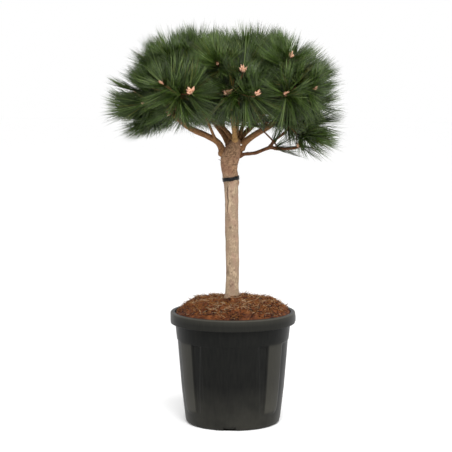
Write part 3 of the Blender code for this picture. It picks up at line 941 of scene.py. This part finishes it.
def bud_lines():
    """Spindle lines and sizes: one along each shoot, and two to five leaning out round it."""
    starts, ways, sizes = [], [], []
    for bud, way, _, size in shoots:
        count = 6 if size > 1.2 else int(bud_rng.integers(3, 6))
        level = unit(np.cross(way, NEARLY_UP))
        for number in range(count):
            turn = number * math.tau / (count - 1) + bud_rng.uniform(-0.3, 0.3)
            lean = 0.0 if number == 0 else math.radians(bud_rng.uniform(24, 40))
            side = math.cos(turn) * level + math.sin(turn) * np.cross(way, level)
            starts.append(bud - way * 0.002 + side * math.sin(lean) * BUD_R * size)
            ways.append(math.cos(lean) * way + math.sin(lean) * side)
            sizes.append(size * (1.15 if number == 0 else bud_rng.uniform(0.75, 1.0)))
    return np.array(starts), np.array(ways), np.array(sizes)


starts, ways, sizes = bud_lines()
reach = np.linspace(0, 1, len(BUD_PROFILE))[None, :, None] * (BUD_LENGTH * sizes)[:, None, None]
bud_radii = BUD_R * sizes[:, None] * BUD_PROFILE
points, faces = tubes(starts[:, None] + reach * ways[:, None], bud_radii, BUD_SIDES)
bud_scales = bud_resin("resinous_bud_scales", "ad6a48", "d8ae92")
buds = make_piece("buds", points, faces, [bud_scales])
print(len(starts), "buds")

# %% [markdown]
# ## The graft's tape
# A turn of black stretch tape still holds the graft. It lies tilted, higher on the right, hugs the
# bulge and has a soft shine. It is a band: a profile just over a millimetre thick carried round
# the stem, thicker in front where one end laps over the other.

# %% The graft's tape
TAPE_HEIGHT = 0.0105
TAPE_THICK = 0.0013
TAPE_TILT = math.tan(math.radians(9))
TAPE_R = 0.022  # about the stem's radius there
TAPE_COLUMNS = 120
TAPE_SLACK = 0.0013  # from the stem's middle skin to the tape's inside


def tape_points():
    """Closed profile of eight points carried round: at each turn the band's middle height is tilt
    times x plus a small wave, and its radius is the stem's there plus slack and thickness."""
    turn = np.arange(TAPE_COLUMNS) * math.tau / TAPE_COLUMNS
    height = np.array([-0.5, -0.46, 0.0, 0.46, 0.5, 0.46, 0.0, -0.46])[:, None] * TAPE_HEIGHT
    outside = np.array([0.5, 1.0, 0.9, 1.0, 0.5, 0.0, 0.0, 0.0])[:, None] * TAPE_THICK
    lap = 1 + 0.7 * bell(np.degrees(turn), 262, 9)
    z = GRAFT_Z + height + TAPE_TILT * TAPE_R * np.cos(turn) + 0.0005 * np.sin(5 * turn)
    radius = np.interp(z, stem_line[:, 2], stem_radii) + TAPE_SLACK + outside * lap
    x = np.interp(z, stem_line[:, 2], stem_line[:, 0])
    return np.stack([x + radius * np.cos(turn), radius * np.sin(turn), z], axis=-1)


def closed_both_ways(rows, columns):
    """Quads of a grid that closes on itself both ways."""
    row = np.arange(rows)[:, None]
    here = np.arange(columns)
    up, after = (row + 1) % rows, (here + 1) % columns
    corners = [row * columns + here, row * columns + after, up * columns + after, up * columns + here]
    return [np.stack(corners, -1).reshape(-1, 4)]


def stretch_tape():
    """Black PVC tape: smooth, with slack wrinkles of 4 mm in its bump."""
    material, shader = new_material(
        "black_grafting_tape", Roughness=0.32, IOR=1.5, Specular_IOR_Level=0.15
    )
    coordinates = add(material, "TexCoord", "Object")
    wrinkle = add(material, "TexNoise", "Fac", {"Vector": coordinates, "Scale": 1 / 0.004, "Detail": 2.0})
    colour = add(material, "ValToRGB", "Color", {"Fac": wrinkle}, [(0.3, "060607"), (0.7, "141516")])
    bump = add(material, "Bump", "Normal", {"Height": wrinkle, "Strength": 0.4, "Distance": 0.0008})
    connect(material, shader, Base_Color=colour, Normal=bump)
    return material


ring = tape_points()
ring_faces = closed_both_ways(*ring.shape[:2])
tape = make_piece("tape_band", ring.reshape(-1, 3), ring_faces, [stretch_tape()])
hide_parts("graft_tie")
print("tape", len(tape.data.polygons), "faces")

# %% [markdown]
# ## The container
# Nursery containers are blown or injection moulded from black polypropylene, partly recycled. This
# one has a plain front panel between two thin ribs, a wedge-shaped recess beside each rib, then a
# broad pilaster flush with the collar. The same comes again behind. Over them run the collar and a
# turned-down lip. A wall that follows formulas for its radius, by angle and height, has all that
# in one grid, with rounded edges.

# %% The container's shape
POT_TURN = -4.2  # degrees from the front to the mould's front, left is negative
POT_COLUMNS = 480
COLLAR_Z = 0.242
LIP_LOW_Z = 0.290
POT_TOP_Z = 0.3227
LIP_R = 0.1805
LIP_BEND = 0.0045
MOUTH_R = 0.1672
MOUTH_BEND = 0.003
WALL = ((0.0, 0.1310), (0.003, 0.1355), (0.010, 0.1375), (0.105, 0.1489), (COLLAR_Z, 0.1598))
COLLAR_WALL = ((COLLAR_Z, 0.1618), (LIP_LOW_Z, 0.1667))  # both are heights and radii
INSIDE = ((0.1640, 0.300), (0.1565, COLLAR_Z), (0.1459, 0.105), (0.1345, 0.010), (0.128, 0.0035))
STEP_OUT = 0.0020  # how far the pilasters and the collar stand before the wall
PILASTER = (42.0, 64.5)  # degrees from the middle of the front or the back
RIB_AT = 29.2
RIB_OUT = 0.0011
RECESS_IN = 0.0022
FLUTES_Z = 0.036  # where pilasters and recesses end below
NOTCH_HALF = 7.2  # degrees
NOTCH_TOP = 0.0112
NOTCH_IN = 0.013
FLASH_OUT = 0.0022  # a nib of moulding flash on the lip's right


def wall_radius(z):
    """Two cones over a rounded foot, through the radii at the foot, the waist and the collar."""
    return np.interp(z, *zip(*WALL))


def from_front(turn):
    """Degrees from the middle of the mould's front or back, whichever is nearer, without a sign."""
    off = (np.degrees(turn) - 270 - POT_TURN + 180) % 360 - 180
    return np.minimum(np.abs(off), 180 - np.abs(off))


def between(values, low, high, edge):
    """1 between low and high, 0 outside, eased over edge at both."""
    half = edge / 2
    return eased(values, low - half, low + half) * (1 - eased(values, high - half, high + half))


def wall_relief(off, z):
    """Outwards in metres: pilasters, thin ribs beside the front panel, and the wedge recesses."""
    up = np.clip(z / COLLAR_Z, 0, 1)
    aside = np.abs(off - 53)
    round_foot = FLUTES_Z + 0.016 * (aside / 11.25) ** 4 * (aside < 11.5)
    pilaster = between(off, *PILASTER, 1.9) * eased(z, round_foot, round_foot + 0.006)
    rib = bell(off, RIB_AT, 0.9) * eased(z, 0.05, 0.12)
    wedge = between(off, 38.2 - 7.0 * up, 41.6, 1.6) * eased(z, FLUTES_Z, 0.060)
    return STEP_OUT * pilaster * (0.55 + 0.45 * up) + RIB_OUT * rib - RECESS_IN * wedge


def corner(radius, z, bend, start):
    """Points of a quarter circle of this bend round (radius, z), counter-clockwise from start."""
    angles = [start + math.radians(angle) for angle in np.linspace(0, 90, 7)]
    return [(radius + bend * math.cos(angle), z + bend * math.sin(angle)) for angle in angles]


def lip_profile():
    """(radius, height) from under the collar to the mouth and down inside, corners rounded."""
    under = [
        (0.1668, LIP_LOW_Z - 0.002),
        (0.1669, LIP_LOW_Z + 0.006),
        (LIP_R - 0.0036, LIP_LOW_Z + 0.006),
        (LIP_R - 0.0034, LIP_LOW_Z + 0.0008),
        (LIP_R - 0.0022, LIP_LOW_Z),
        (LIP_R - 0.0006, LIP_LOW_Z + 0.0008),
        (LIP_R - 0.0002, LIP_LOW_Z + 0.004),
        (LIP_R, LIP_LOW_Z + 0.014),
    ]
    outer = corner(LIP_R - LIP_BEND, POT_TOP_Z - LIP_BEND, LIP_BEND, 0)
    inner = corner(MOUTH_R + MOUTH_BEND, POT_TOP_Z - MOUTH_BEND, MOUTH_BEND, math.pi / 2)
    return [*under, *outer, *inner, *INSIDE]


def container_points():
    """Rows of radius and height, from the underside up the wall, over the lip and down inside,
    each carried round. A radius is the wall's plus its relief, less the notches at the foot."""
    turn = np.arange(POT_COLUMNS) * math.tau / POT_COLUMNS
    off = from_front(turn)
    notch_off = (np.degrees(turn) - 270 - POT_TURN + 45) % 90 - 45
    notch = 1 - eased(np.abs(notch_off), NOTCH_HALF - 0.4, NOTCH_HALF + 0.4)
    heights = np.concatenate(
        [
            [0.0, 0.0008, 0.0020, 0.0036, 0.0060, 0.0085, NOTCH_TOP - 0.0004, NOTCH_TOP + 0.0004, 0.0140],
            np.linspace(0.019, 0.062, 15),
            np.linspace(0.070, COLLAR_Z - 0.002, 26),
        ]
    )
    rows = [(0.030, 0.0030), (0.112, 0.0030), (0.118, 0.0), (0.1285, 0.0)]
    for z in heights:
        radius = wall_radius(z) + wall_relief(off, z)
        rows.append((radius - NOTCH_IN * notch * (z < NOTCH_TOP), z))
    wall = wall_radius(COLLAR_Z)
    flush = np.maximum(wall_relief(off, COLLAR_Z), 0)
    for share, rise in ((0.1, -0.0006), (0.5, 0.0002), (0.9, 0.0012), (1.0, 0.0026)):
        rows.append((wall + flush + (STEP_OUT - flush) * share, COLLAR_Z + rise))
    rows += [(np.interp(z, *zip(*COLLAR_WALL)), z) for z in np.linspace(0.250, 0.285, 5)]
    flash = FLASH_OUT * bell((np.degrees(turn) + 180) % 360 - 180, 2, 1.3)
    for radius, z in lip_profile():
        rows.append((radius + flash * (radius > LIP_R - 0.001) * (z < 0.312), z))
    rows.append((0.030, 0.0035))
    radii = np.array([np.broadcast_to(radius, turn.shape) for radius, _ in rows])
    heights = np.array([z for _, z in rows])[:, None] * np.ones_like(turn)
    return np.stack([radii * np.cos(turn), radii * np.sin(turn), heights], axis=-1)


grid = container_points()
print("container grid", grid.shape[:2], "widest", round(float(np.abs(grid).max()), 4))

# %% [markdown]
# ## Black polypropylene
# The skin is smooth, with a broad soft shine. Dust from the potting bench and dried splashes
# lighten the lower third. The top of the lip and the pilasters stand proud, and a painted sheen
# makes them pale, with a painted highlight along the lip's top edge. Handling has left faint
# upright scuffs all over.

# %% Black polypropylene
def polypropylene():
    """Moulded PP: black, with dust by the height and two noises, a painted sheen and highlight by a
    mark on the points, and a roughness that changes over 55 mm."""
    material, shader = new_material("black_polypropylene", IOR=1.49, Specular_IOR_Level=0.06)
    coordinates = add(material, "TexCoord", "Object")
    cloud = add(material, "TexNoise", "Fac", {"Vector": coordinates, "Scale": 1 / 0.055, "Detail": 4.0})
    upright = add(material, "Mapping", "Vector", {"Vector": coordinates, "Scale": (1.0, 1.0, 0.12)})
    scuff = add(material, "TexNoise", "Fac", {"Vector": upright, "Scale": 1 / 0.006, "Detail": 3.0})
    height = add(material, "SeparateXYZ", "Z", {"Vector": coordinates})
    limits = {"Value": height, "From Min": 0.13, "From Max": 0.0, "To Max": 0.42}
    low = add(material, "MapRange", "Result", limits)
    dusty = add(material, "Math", "Value", {0: low, 1: cloud}, operation="MULTIPLY")
    faint = add(material, "Math", "Value", {0: scuff, 1: 0.08, 2: dusty}, operation="MULTIPLY_ADD")
    # painted sheen on the pilasters and painted highlight on the lip, as stored on the points
    painted_sheen = add(material, "Attribute", "Fac", attribute_name="painted_sheen")
    dust_and_sheen = add(material, "Math", "Value", {0: painted_sheen, 1: faint}, operation="ADD")
    # the pale grey stands for the dust and for the painted sheen and highlight alike
    both = {0: dust_and_sheen, 6: linear("0b0c0c"), 7: linear("57554d")}
    colour = add(material, "Mix", 2, both, data_type="RGBA")
    roughness = add(material, "MapRange", "Result", {"Value": cloud, "To Min": 0.30, "To Max": 0.46})
    grain = add(material, "TexNoise", "Fac", {"Vector": coordinates, "Scale": 1 / 0.003, "Detail": 2.0})
    bump = add(material, "Bump", "Normal", {"Height": grain, "Strength": 0.12, "Distance": 0.0005})
    connect(material, shader, Base_Color=colour, Roughness=roughness, Normal=bump)
    return material


def painted_sheen_marks(grid):
    """How much painted sheen each point takes: the pilasters' faces, and the lip, with a painted highlight
    along its top edge.
    """
    off = from_front(np.arange(POT_COLUMNS) * math.tau / POT_COLUMNS)
    height, radius = grid[..., 2], np.hypot(grid[..., 0], grid[..., 1])
    # painted sheen on the pilasters' faces
    proud = between(off, PILASTER[0] + 1.0, PILASTER[1] - 0.5, 2.5) * between(height, 0.045, COLLAR_Z, 0.01)
    # painted highlight along the lip's top edge, over a fainter painted sheen on the rest of the lip's
    # outside
    edge = eased(height, POT_TOP_Z - 0.006, POT_TOP_Z - 0.002)
    brim = (radius > LIP_R - 0.0042) * (0.07 + 0.42 * edge)
    return 0.24 * proud + brim * (height > LIP_LOW_Z)


faces = grid_faces(*grid.shape[:2])
container = make_piece("container", grid.reshape(-1, 3), faces, [polypropylene()])
container.data.set_sharp_from_angle(angle=math.radians(38))
# the painted sheen and highlight go onto the container's points
mark(container, "painted_sheen", painted_sheen_marks(grid))
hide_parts("pot")
print("container", len(container.data.polygons), "faces")

# %% [markdown]
# ## Mulch
# Shredded bark and coconut fibre are heaped over the compost, right up to the lip. The ground
# under them is a lumpy mound. On it lie thousands of shreds and chips in a few browns, and pale
# fibres that stick up out of them. Chips and fibres are the same tube maker at work, with other
# lengths, thicknesses and counts.

# %% The mound
SOIL_EDGE_Z = 0.3185
SOIL_TOP_Z = 0.3575
SOIL_R = 0.1652
SKIRT_Z = 0.300  # the bed's edge reaches down to here, hidden behind the lip
HEAP = (0.036, 0.045)
HEAP_RISE = 0.010
FOOT_RISE = 0.008
MOUND_LUMPS = ((0.0066, 0.030, 71), (0.0044, 0.013, 72), (0.0018, 0.006, 73))  # rise, size, seed
mulch_rng = np.random.default_rng(70)


def mound_height(x, y):
    """Edge height plus a dome that stays high towards the rim, a heap behind the stem, one round
    its foot, and lumps at three sizes that fade at the rim."""
    out = np.hypot(x, y) / SOIL_R
    flat = np.stack([x, y, np.zeros_like(x)], axis=-1)
    dome = (SOIL_TOP_Z - SOIL_EDGE_Z) * (1 - np.minimum(out, 1) ** 4.5)
    heap = HEAP_RISE * np.exp(-((x - HEAP[0]) ** 2 + (y - HEAP[1]) ** 2) / 0.016**2)
    foot = FOOT_RISE * bell(np.hypot(x + 0.002, y), 0.022, 0.016)
    rough = sum(rise * lumps(flat, size, seed) for rise, size, seed in MOUND_LUMPS)
    return SOIL_EDGE_Z + dome + heap + foot + rough * np.clip(1.25 - out**6, 0, 1)


MOUND_ROWS, MOUND_COLUMNS = 100, 300
radii = (np.linspace(0.002, 1, MOUND_ROWS)[::-1] ** 0.8 * SOIL_R)[:, None]
turn = np.arange(MOUND_COLUMNS) * math.tau / MOUND_COLUMNS
x, y = radii * np.cos(turn), radii * np.sin(turn)
mound = np.stack([x, y, mound_height(x, y)], axis=-1)
mound = np.concatenate([mound[:1] * (0.95, 0.95, 0) + (0, 0, SKIRT_Z), mound])
# the mound's own lumps: high on its bumps and low in its hollows, where the mulch's colour paints shade
hollow = lumps(mound * (1, 1, 0), 0.013, 72) + 0.6 * lumps(mound * (1, 1, 0), 0.006, 73)
print("mound from", round(float(mound[1:, :, 2].min()), 3), "to", round(float(mound[..., 2].max()), 3))

# %% Mulch materials
def shredded(name, dark, middle, light):
    """Wet shredded bark: matt, with painted shade in the mound's hollows. The mark named relief, a
    grain of 3.5 mm and patches of 28 mm choose the colour."""
    material, shader = new_material(name, Roughness=0.85, Specular_IOR_Level=0.3)
    coordinates = add(material, "TexCoord", "Object")
    grain = add(material, "TexNoise", "Fac", {"Vector": coordinates, "Scale": 1 / 0.0035, "Detail": 4.0})
    patch = add(material, "TexNoise", "Fac", {"Vector": coordinates, "Scale": 1 / 0.028, "Detail": 1.0})
    # the mark named relief is lower in the mound's hollows, which the ramp paints darker as shade
    height = add(material, "Attribute", "Fac", attribute_name="relief")
    for noise, share in ((grain, 0.8), (patch, 0.7)):
        height = add(material, "Math", "Value", {0: noise, 1: share, 2: height}, operation="MULTIPLY_ADD")
    height = add(material, "Math", "Value", {0: height, 1: 0.35}, operation="SUBTRACT")
    stops = [(0.22, dark), (0.52, middle), (0.95, light)]
    colour = add(material, "ValToRGB", "Color", {"Fac": height}, stops)
    bump = add(material, "Bump", "Normal", {"Height": grain, "Strength": 0.8, "Distance": 0.002})
    connect(material, shader, Base_Color=colour, Normal=bump)
    return material


def plain_shred(name, code):
    """One brown of the shreds. The many shreds in their different browns make the pattern."""
    return new_material(name, Base_Color=linear(code), Roughness=0.8, Specular_IOR_Level=0.3)[0]


ground = shredded("coir_and_bark_mulch", "0f0603", "44200c", "75421d")
shred_kinds = [
    plain_shred("shred_black_brown", "180b05"),
    plain_shred("shred_dark_brown", "331709"),
    plain_shred("shred_red_brown", "56270e"),
    plain_shred("shred_orange_brown", "794119"),
    plain_shred("shred_tan", "8a5527"),
]
fibre_kinds = [
    plain_shred("fibre_orange", "7c4820"),
    plain_shred("fibre_tan", "94642f"),
    plain_shred("fibre_pale", "cdb48c"),
]
faces = grid_faces(*mound.shape[:2])
mulch = make_piece("mulch_bed", mound.reshape(-1, 3), faces, [ground])
# painted shade: this mark darkens the mulch in the mound's hollows
mark(mulch, "relief", 0.25 + 0.22 * hollow)
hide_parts("substrate")
print("mulch bed", len(mulch.data.polygons), "faces")

# %% Shreds and fibres
SHREDS = 2600
FIBRES = 2300


def strewn(count, lengths, climb, bend, points, lift):
    """Lines of this many points strewn over the mound: evenly by area, at random headings, tipped
    by climb degrees at most, and bent by a random sideways push that grows as the square."""
    out = np.sqrt(mulch_rng.uniform(0.012, 0.95, count)) * SOIL_R
    place = mulch_rng.uniform(0, math.tau, count)
    x, y = out * np.cos(place), out * np.sin(place)
    middle = np.stack([x, y, mound_height(x, y) + lift], axis=-1)
    way = way_of(mulch_rng.uniform(0, 360, count), mulch_rng.uniform(-climb, climb, count))
    length = mulch_rng.uniform(*lengths, count)[:, None, None]
    t = np.linspace(-0.5, 0.5, points)[None, :, None]
    push = mulch_rng.normal(0, bend, (count, 1, 3)) * length
    lines = middle[:, None] + length * t * way[:, None] + push * (t * t - 0.08)
    inside = np.hypot(lines[..., 0], lines[..., 1]).max(1) < SOIL_R - 0.002
    return lines[inside]


lines = strewn(SHREDS, (0.006, 0.024), climb=28, bend=0.35, points=4, lift=0.0006)
wide = mulch_rng.uniform(0.0008, 0.0027, len(lines))[:, None]
points, faces = tubes(lines, wide * np.array([0.6, 1.0, 0.8, 0.0]), sides=4, flat=0.45)
kinds = mulch_rng.choice(len(shred_kinds), len(lines), p=(0.16, 0.26, 0.30, 0.20, 0.08))
make_piece("mulch_shreds", points, faces, shred_kinds, tube_tints(kinds, faces))
print(len(lines), "shreds")
lines = strewn(FIBRES, (0.012, 0.040), climb=38, bend=0.55, points=6, lift=0.0014)
thin = mulch_rng.uniform(0.00022, 0.00045, len(lines))[:, None]
points, faces = tubes(lines, thin * np.array([0.8, 1, 1, 1, 0.8, 0.0]), sides=3)
kinds = mulch_rng.choice(len(fibre_kinds), len(lines), p=(0.45, 0.38, 0.17))
make_piece("mulch_fibres", points, faces, fibre_kinds, tube_tints(kinds, faces))
print(len(lines), "fibres")

# %% [markdown]
# ## Small things that make it this plant
# A drop of white resin marks where the right bough leaves the stem. A dead side twig sticks out of
# the stem on the left, and a short pruned stub belongs to the right bough's upper branch. The drop
# is still 2.6 mm clear of the bark and the stub 5.1 mm, which a later change has to close.

# %% Small things
DROP_RINGS = 9
DROP_SIDES = 14
STUB_POINTS = 8


def drop_points(centre, radii):
    """A squashed ball: rings at even climbs, each a circle times the cosine of its climb."""
    climb = np.radians(np.linspace(-80, 80, DROP_RINGS))[:, None]
    turn = np.arange(DROP_SIDES) * math.tau / DROP_SIDES
    level = np.cos(climb)
    ball = np.stack([level * np.cos(turn), level * np.sin(turn), np.sin(climb) + 0 * turn], axis=-1)
    return (np.array(centre) + ball * radii).reshape(-1, 3)


def resin():
    """Dried pine resin: milky with a grain of 1 mm, and glossy."""
    material, shader = new_material("dried_resin", Roughness=0.3, IOR=1.53)
    coordinates = add(material, "TexCoord", "Object")
    grain = add(material, "TexNoise", "Fac", {"Vector": coordinates, "Scale": 1 / 0.0012})
    colour = add(material, "ValToRGB", "Color", {"Fac": grain}, [(0.35, "d9cdbb"), (0.6, "fbf6ee")])
    connect(material, shader, Base_Color=colour)
    return material


points = drop_points((0.0235, -0.0165, 0.8035), (0.0026, 0.0016, 0.0022))
make_piece("resin_drop", points, grid_faces(DROP_RINGS, DROP_SIDES), [resin()])
stub_lines = bent(
    np.array([(-0.030, -0.004, 0.757), (0.088, -0.006, 0.868)]),
    unit(np.array([(-1.0, -0.2, 0.3), (0.75, -0.35, 0.2)])),
    np.array([(-0.0420, -0.006, 0.7615), (0.1085, -0.0155, 0.864)]),
    unit(np.array([(-1.0, -0.1, 0.5), (0.9, -0.3, -0.3)])),
    STUB_POINTS,
)
stub_radii = np.linspace((0.0011, 0.0030), (0.0006, 0.0024), STUB_POINTS, axis=1)
points, faces = tubes(stub_lines, stub_radii, sides=9)
stubs = make_piece("stubs", points, faces, [dark_bark])
mark(stubs, "relief", 0.5 + 0.3 * lumps(points, 0.004, 81))
print("a drop of resin and two stubs")

# %% [markdown]
# ## Stage
# The photo was taken in a bright white room: soft light from all round, and a stronger soft light
# high in front. A white world does the first and a large area light the second, with a weaker one
# on the right. A white floor sends light up under the crown, and hides its own horizon.

# %% Stage
FLOOR_HALF = 30.0
FLOOR_CORNERS = ((-1, -1), (1, -1), (1, 1), (-1, 1))
UNDER_FOOT = -0.0002  # the floor lies a hair under the container
white = linear("ffffff")
floor_paint, _ = new_material("white_floor", Base_Color=white, Roughness=0.9, Specular_IOR_Level=0.1)
floor_mesh = bpy.data.meshes.new("floor")
corners = [(x * FLOOR_HALF, y * FLOOR_HALF, UNDER_FOOT) for x, y in FLOOR_CORNERS]
floor_mesh.from_pydata(corners, [], [(0, 1, 2, 3)])
floor_mesh.materials.append(floor_paint)
floor = bpy.data.objects.new("floor", floor_mesh)
bpy.context.scene.collection.objects.link(floor)

world = bpy.data.worlds.new("white_room")
world.use_nodes = True
world.node_tree.nodes["Background"].inputs["Color"].default_value = white
world.node_tree.nodes["Background"].inputs["Strength"].default_value = 1.0
bpy.context.scene.world = world
bpy.context.scene.view_settings.view_transform = "Standard"

AIM = Vector((0.0, 0.0, 0.7))
LIGHTS = {  # place, size, watts
    "key_high_front": ((0.2, -2.6, 3.2), 1.4, 95.0),
    "fill_right": ((2.4, -1.8, 1.9), 1.6, 28.0),
}
for name, (place, size, watts) in LIGHTS.items():
    lamp = bpy.data.lights.new(name, "AREA")
    lamp.size = size
    lamp.energy = watts
    holder = bpy.data.objects.new(name, lamp)
    holder.location = place
    holder.rotation_euler = (AIM - Vector(place)).to_track_quat("-Z", "Y").to_euler()
    bpy.context.scene.collection.objects.link(holder)
print("floor, world and", len(LIGHTS), "lights")

# %% [markdown]
# ## Camera
# The ellipses of the lip and of the foot tell the camera's height and tilt: a metre up, four
# metres away, looking down by six degrees through a long lens.

# %% Camera
CAMERA_PLACE = (-0.0197, -4.2, 1.0)
CAMERA_DOWN = 5.86  # degrees
CAMERA_LENS = 116.9
SENSOR = 36.0
camera_data = bpy.data.cameras.new("camera")
camera_data.lens = CAMERA_LENS
camera_data.sensor_width = SENSOR
camera = bpy.data.objects.new("camera", camera_data)
camera.location = CAMERA_PLACE
camera.rotation_euler = (math.radians(90 - CAMERA_DOWN), 0, 0)
bpy.context.scene.collection.objects.link(camera)
bpy.context.scene.camera = camera
print("camera", CAMERA_PLACE, "looking", CAMERA_DOWN, "degrees down")
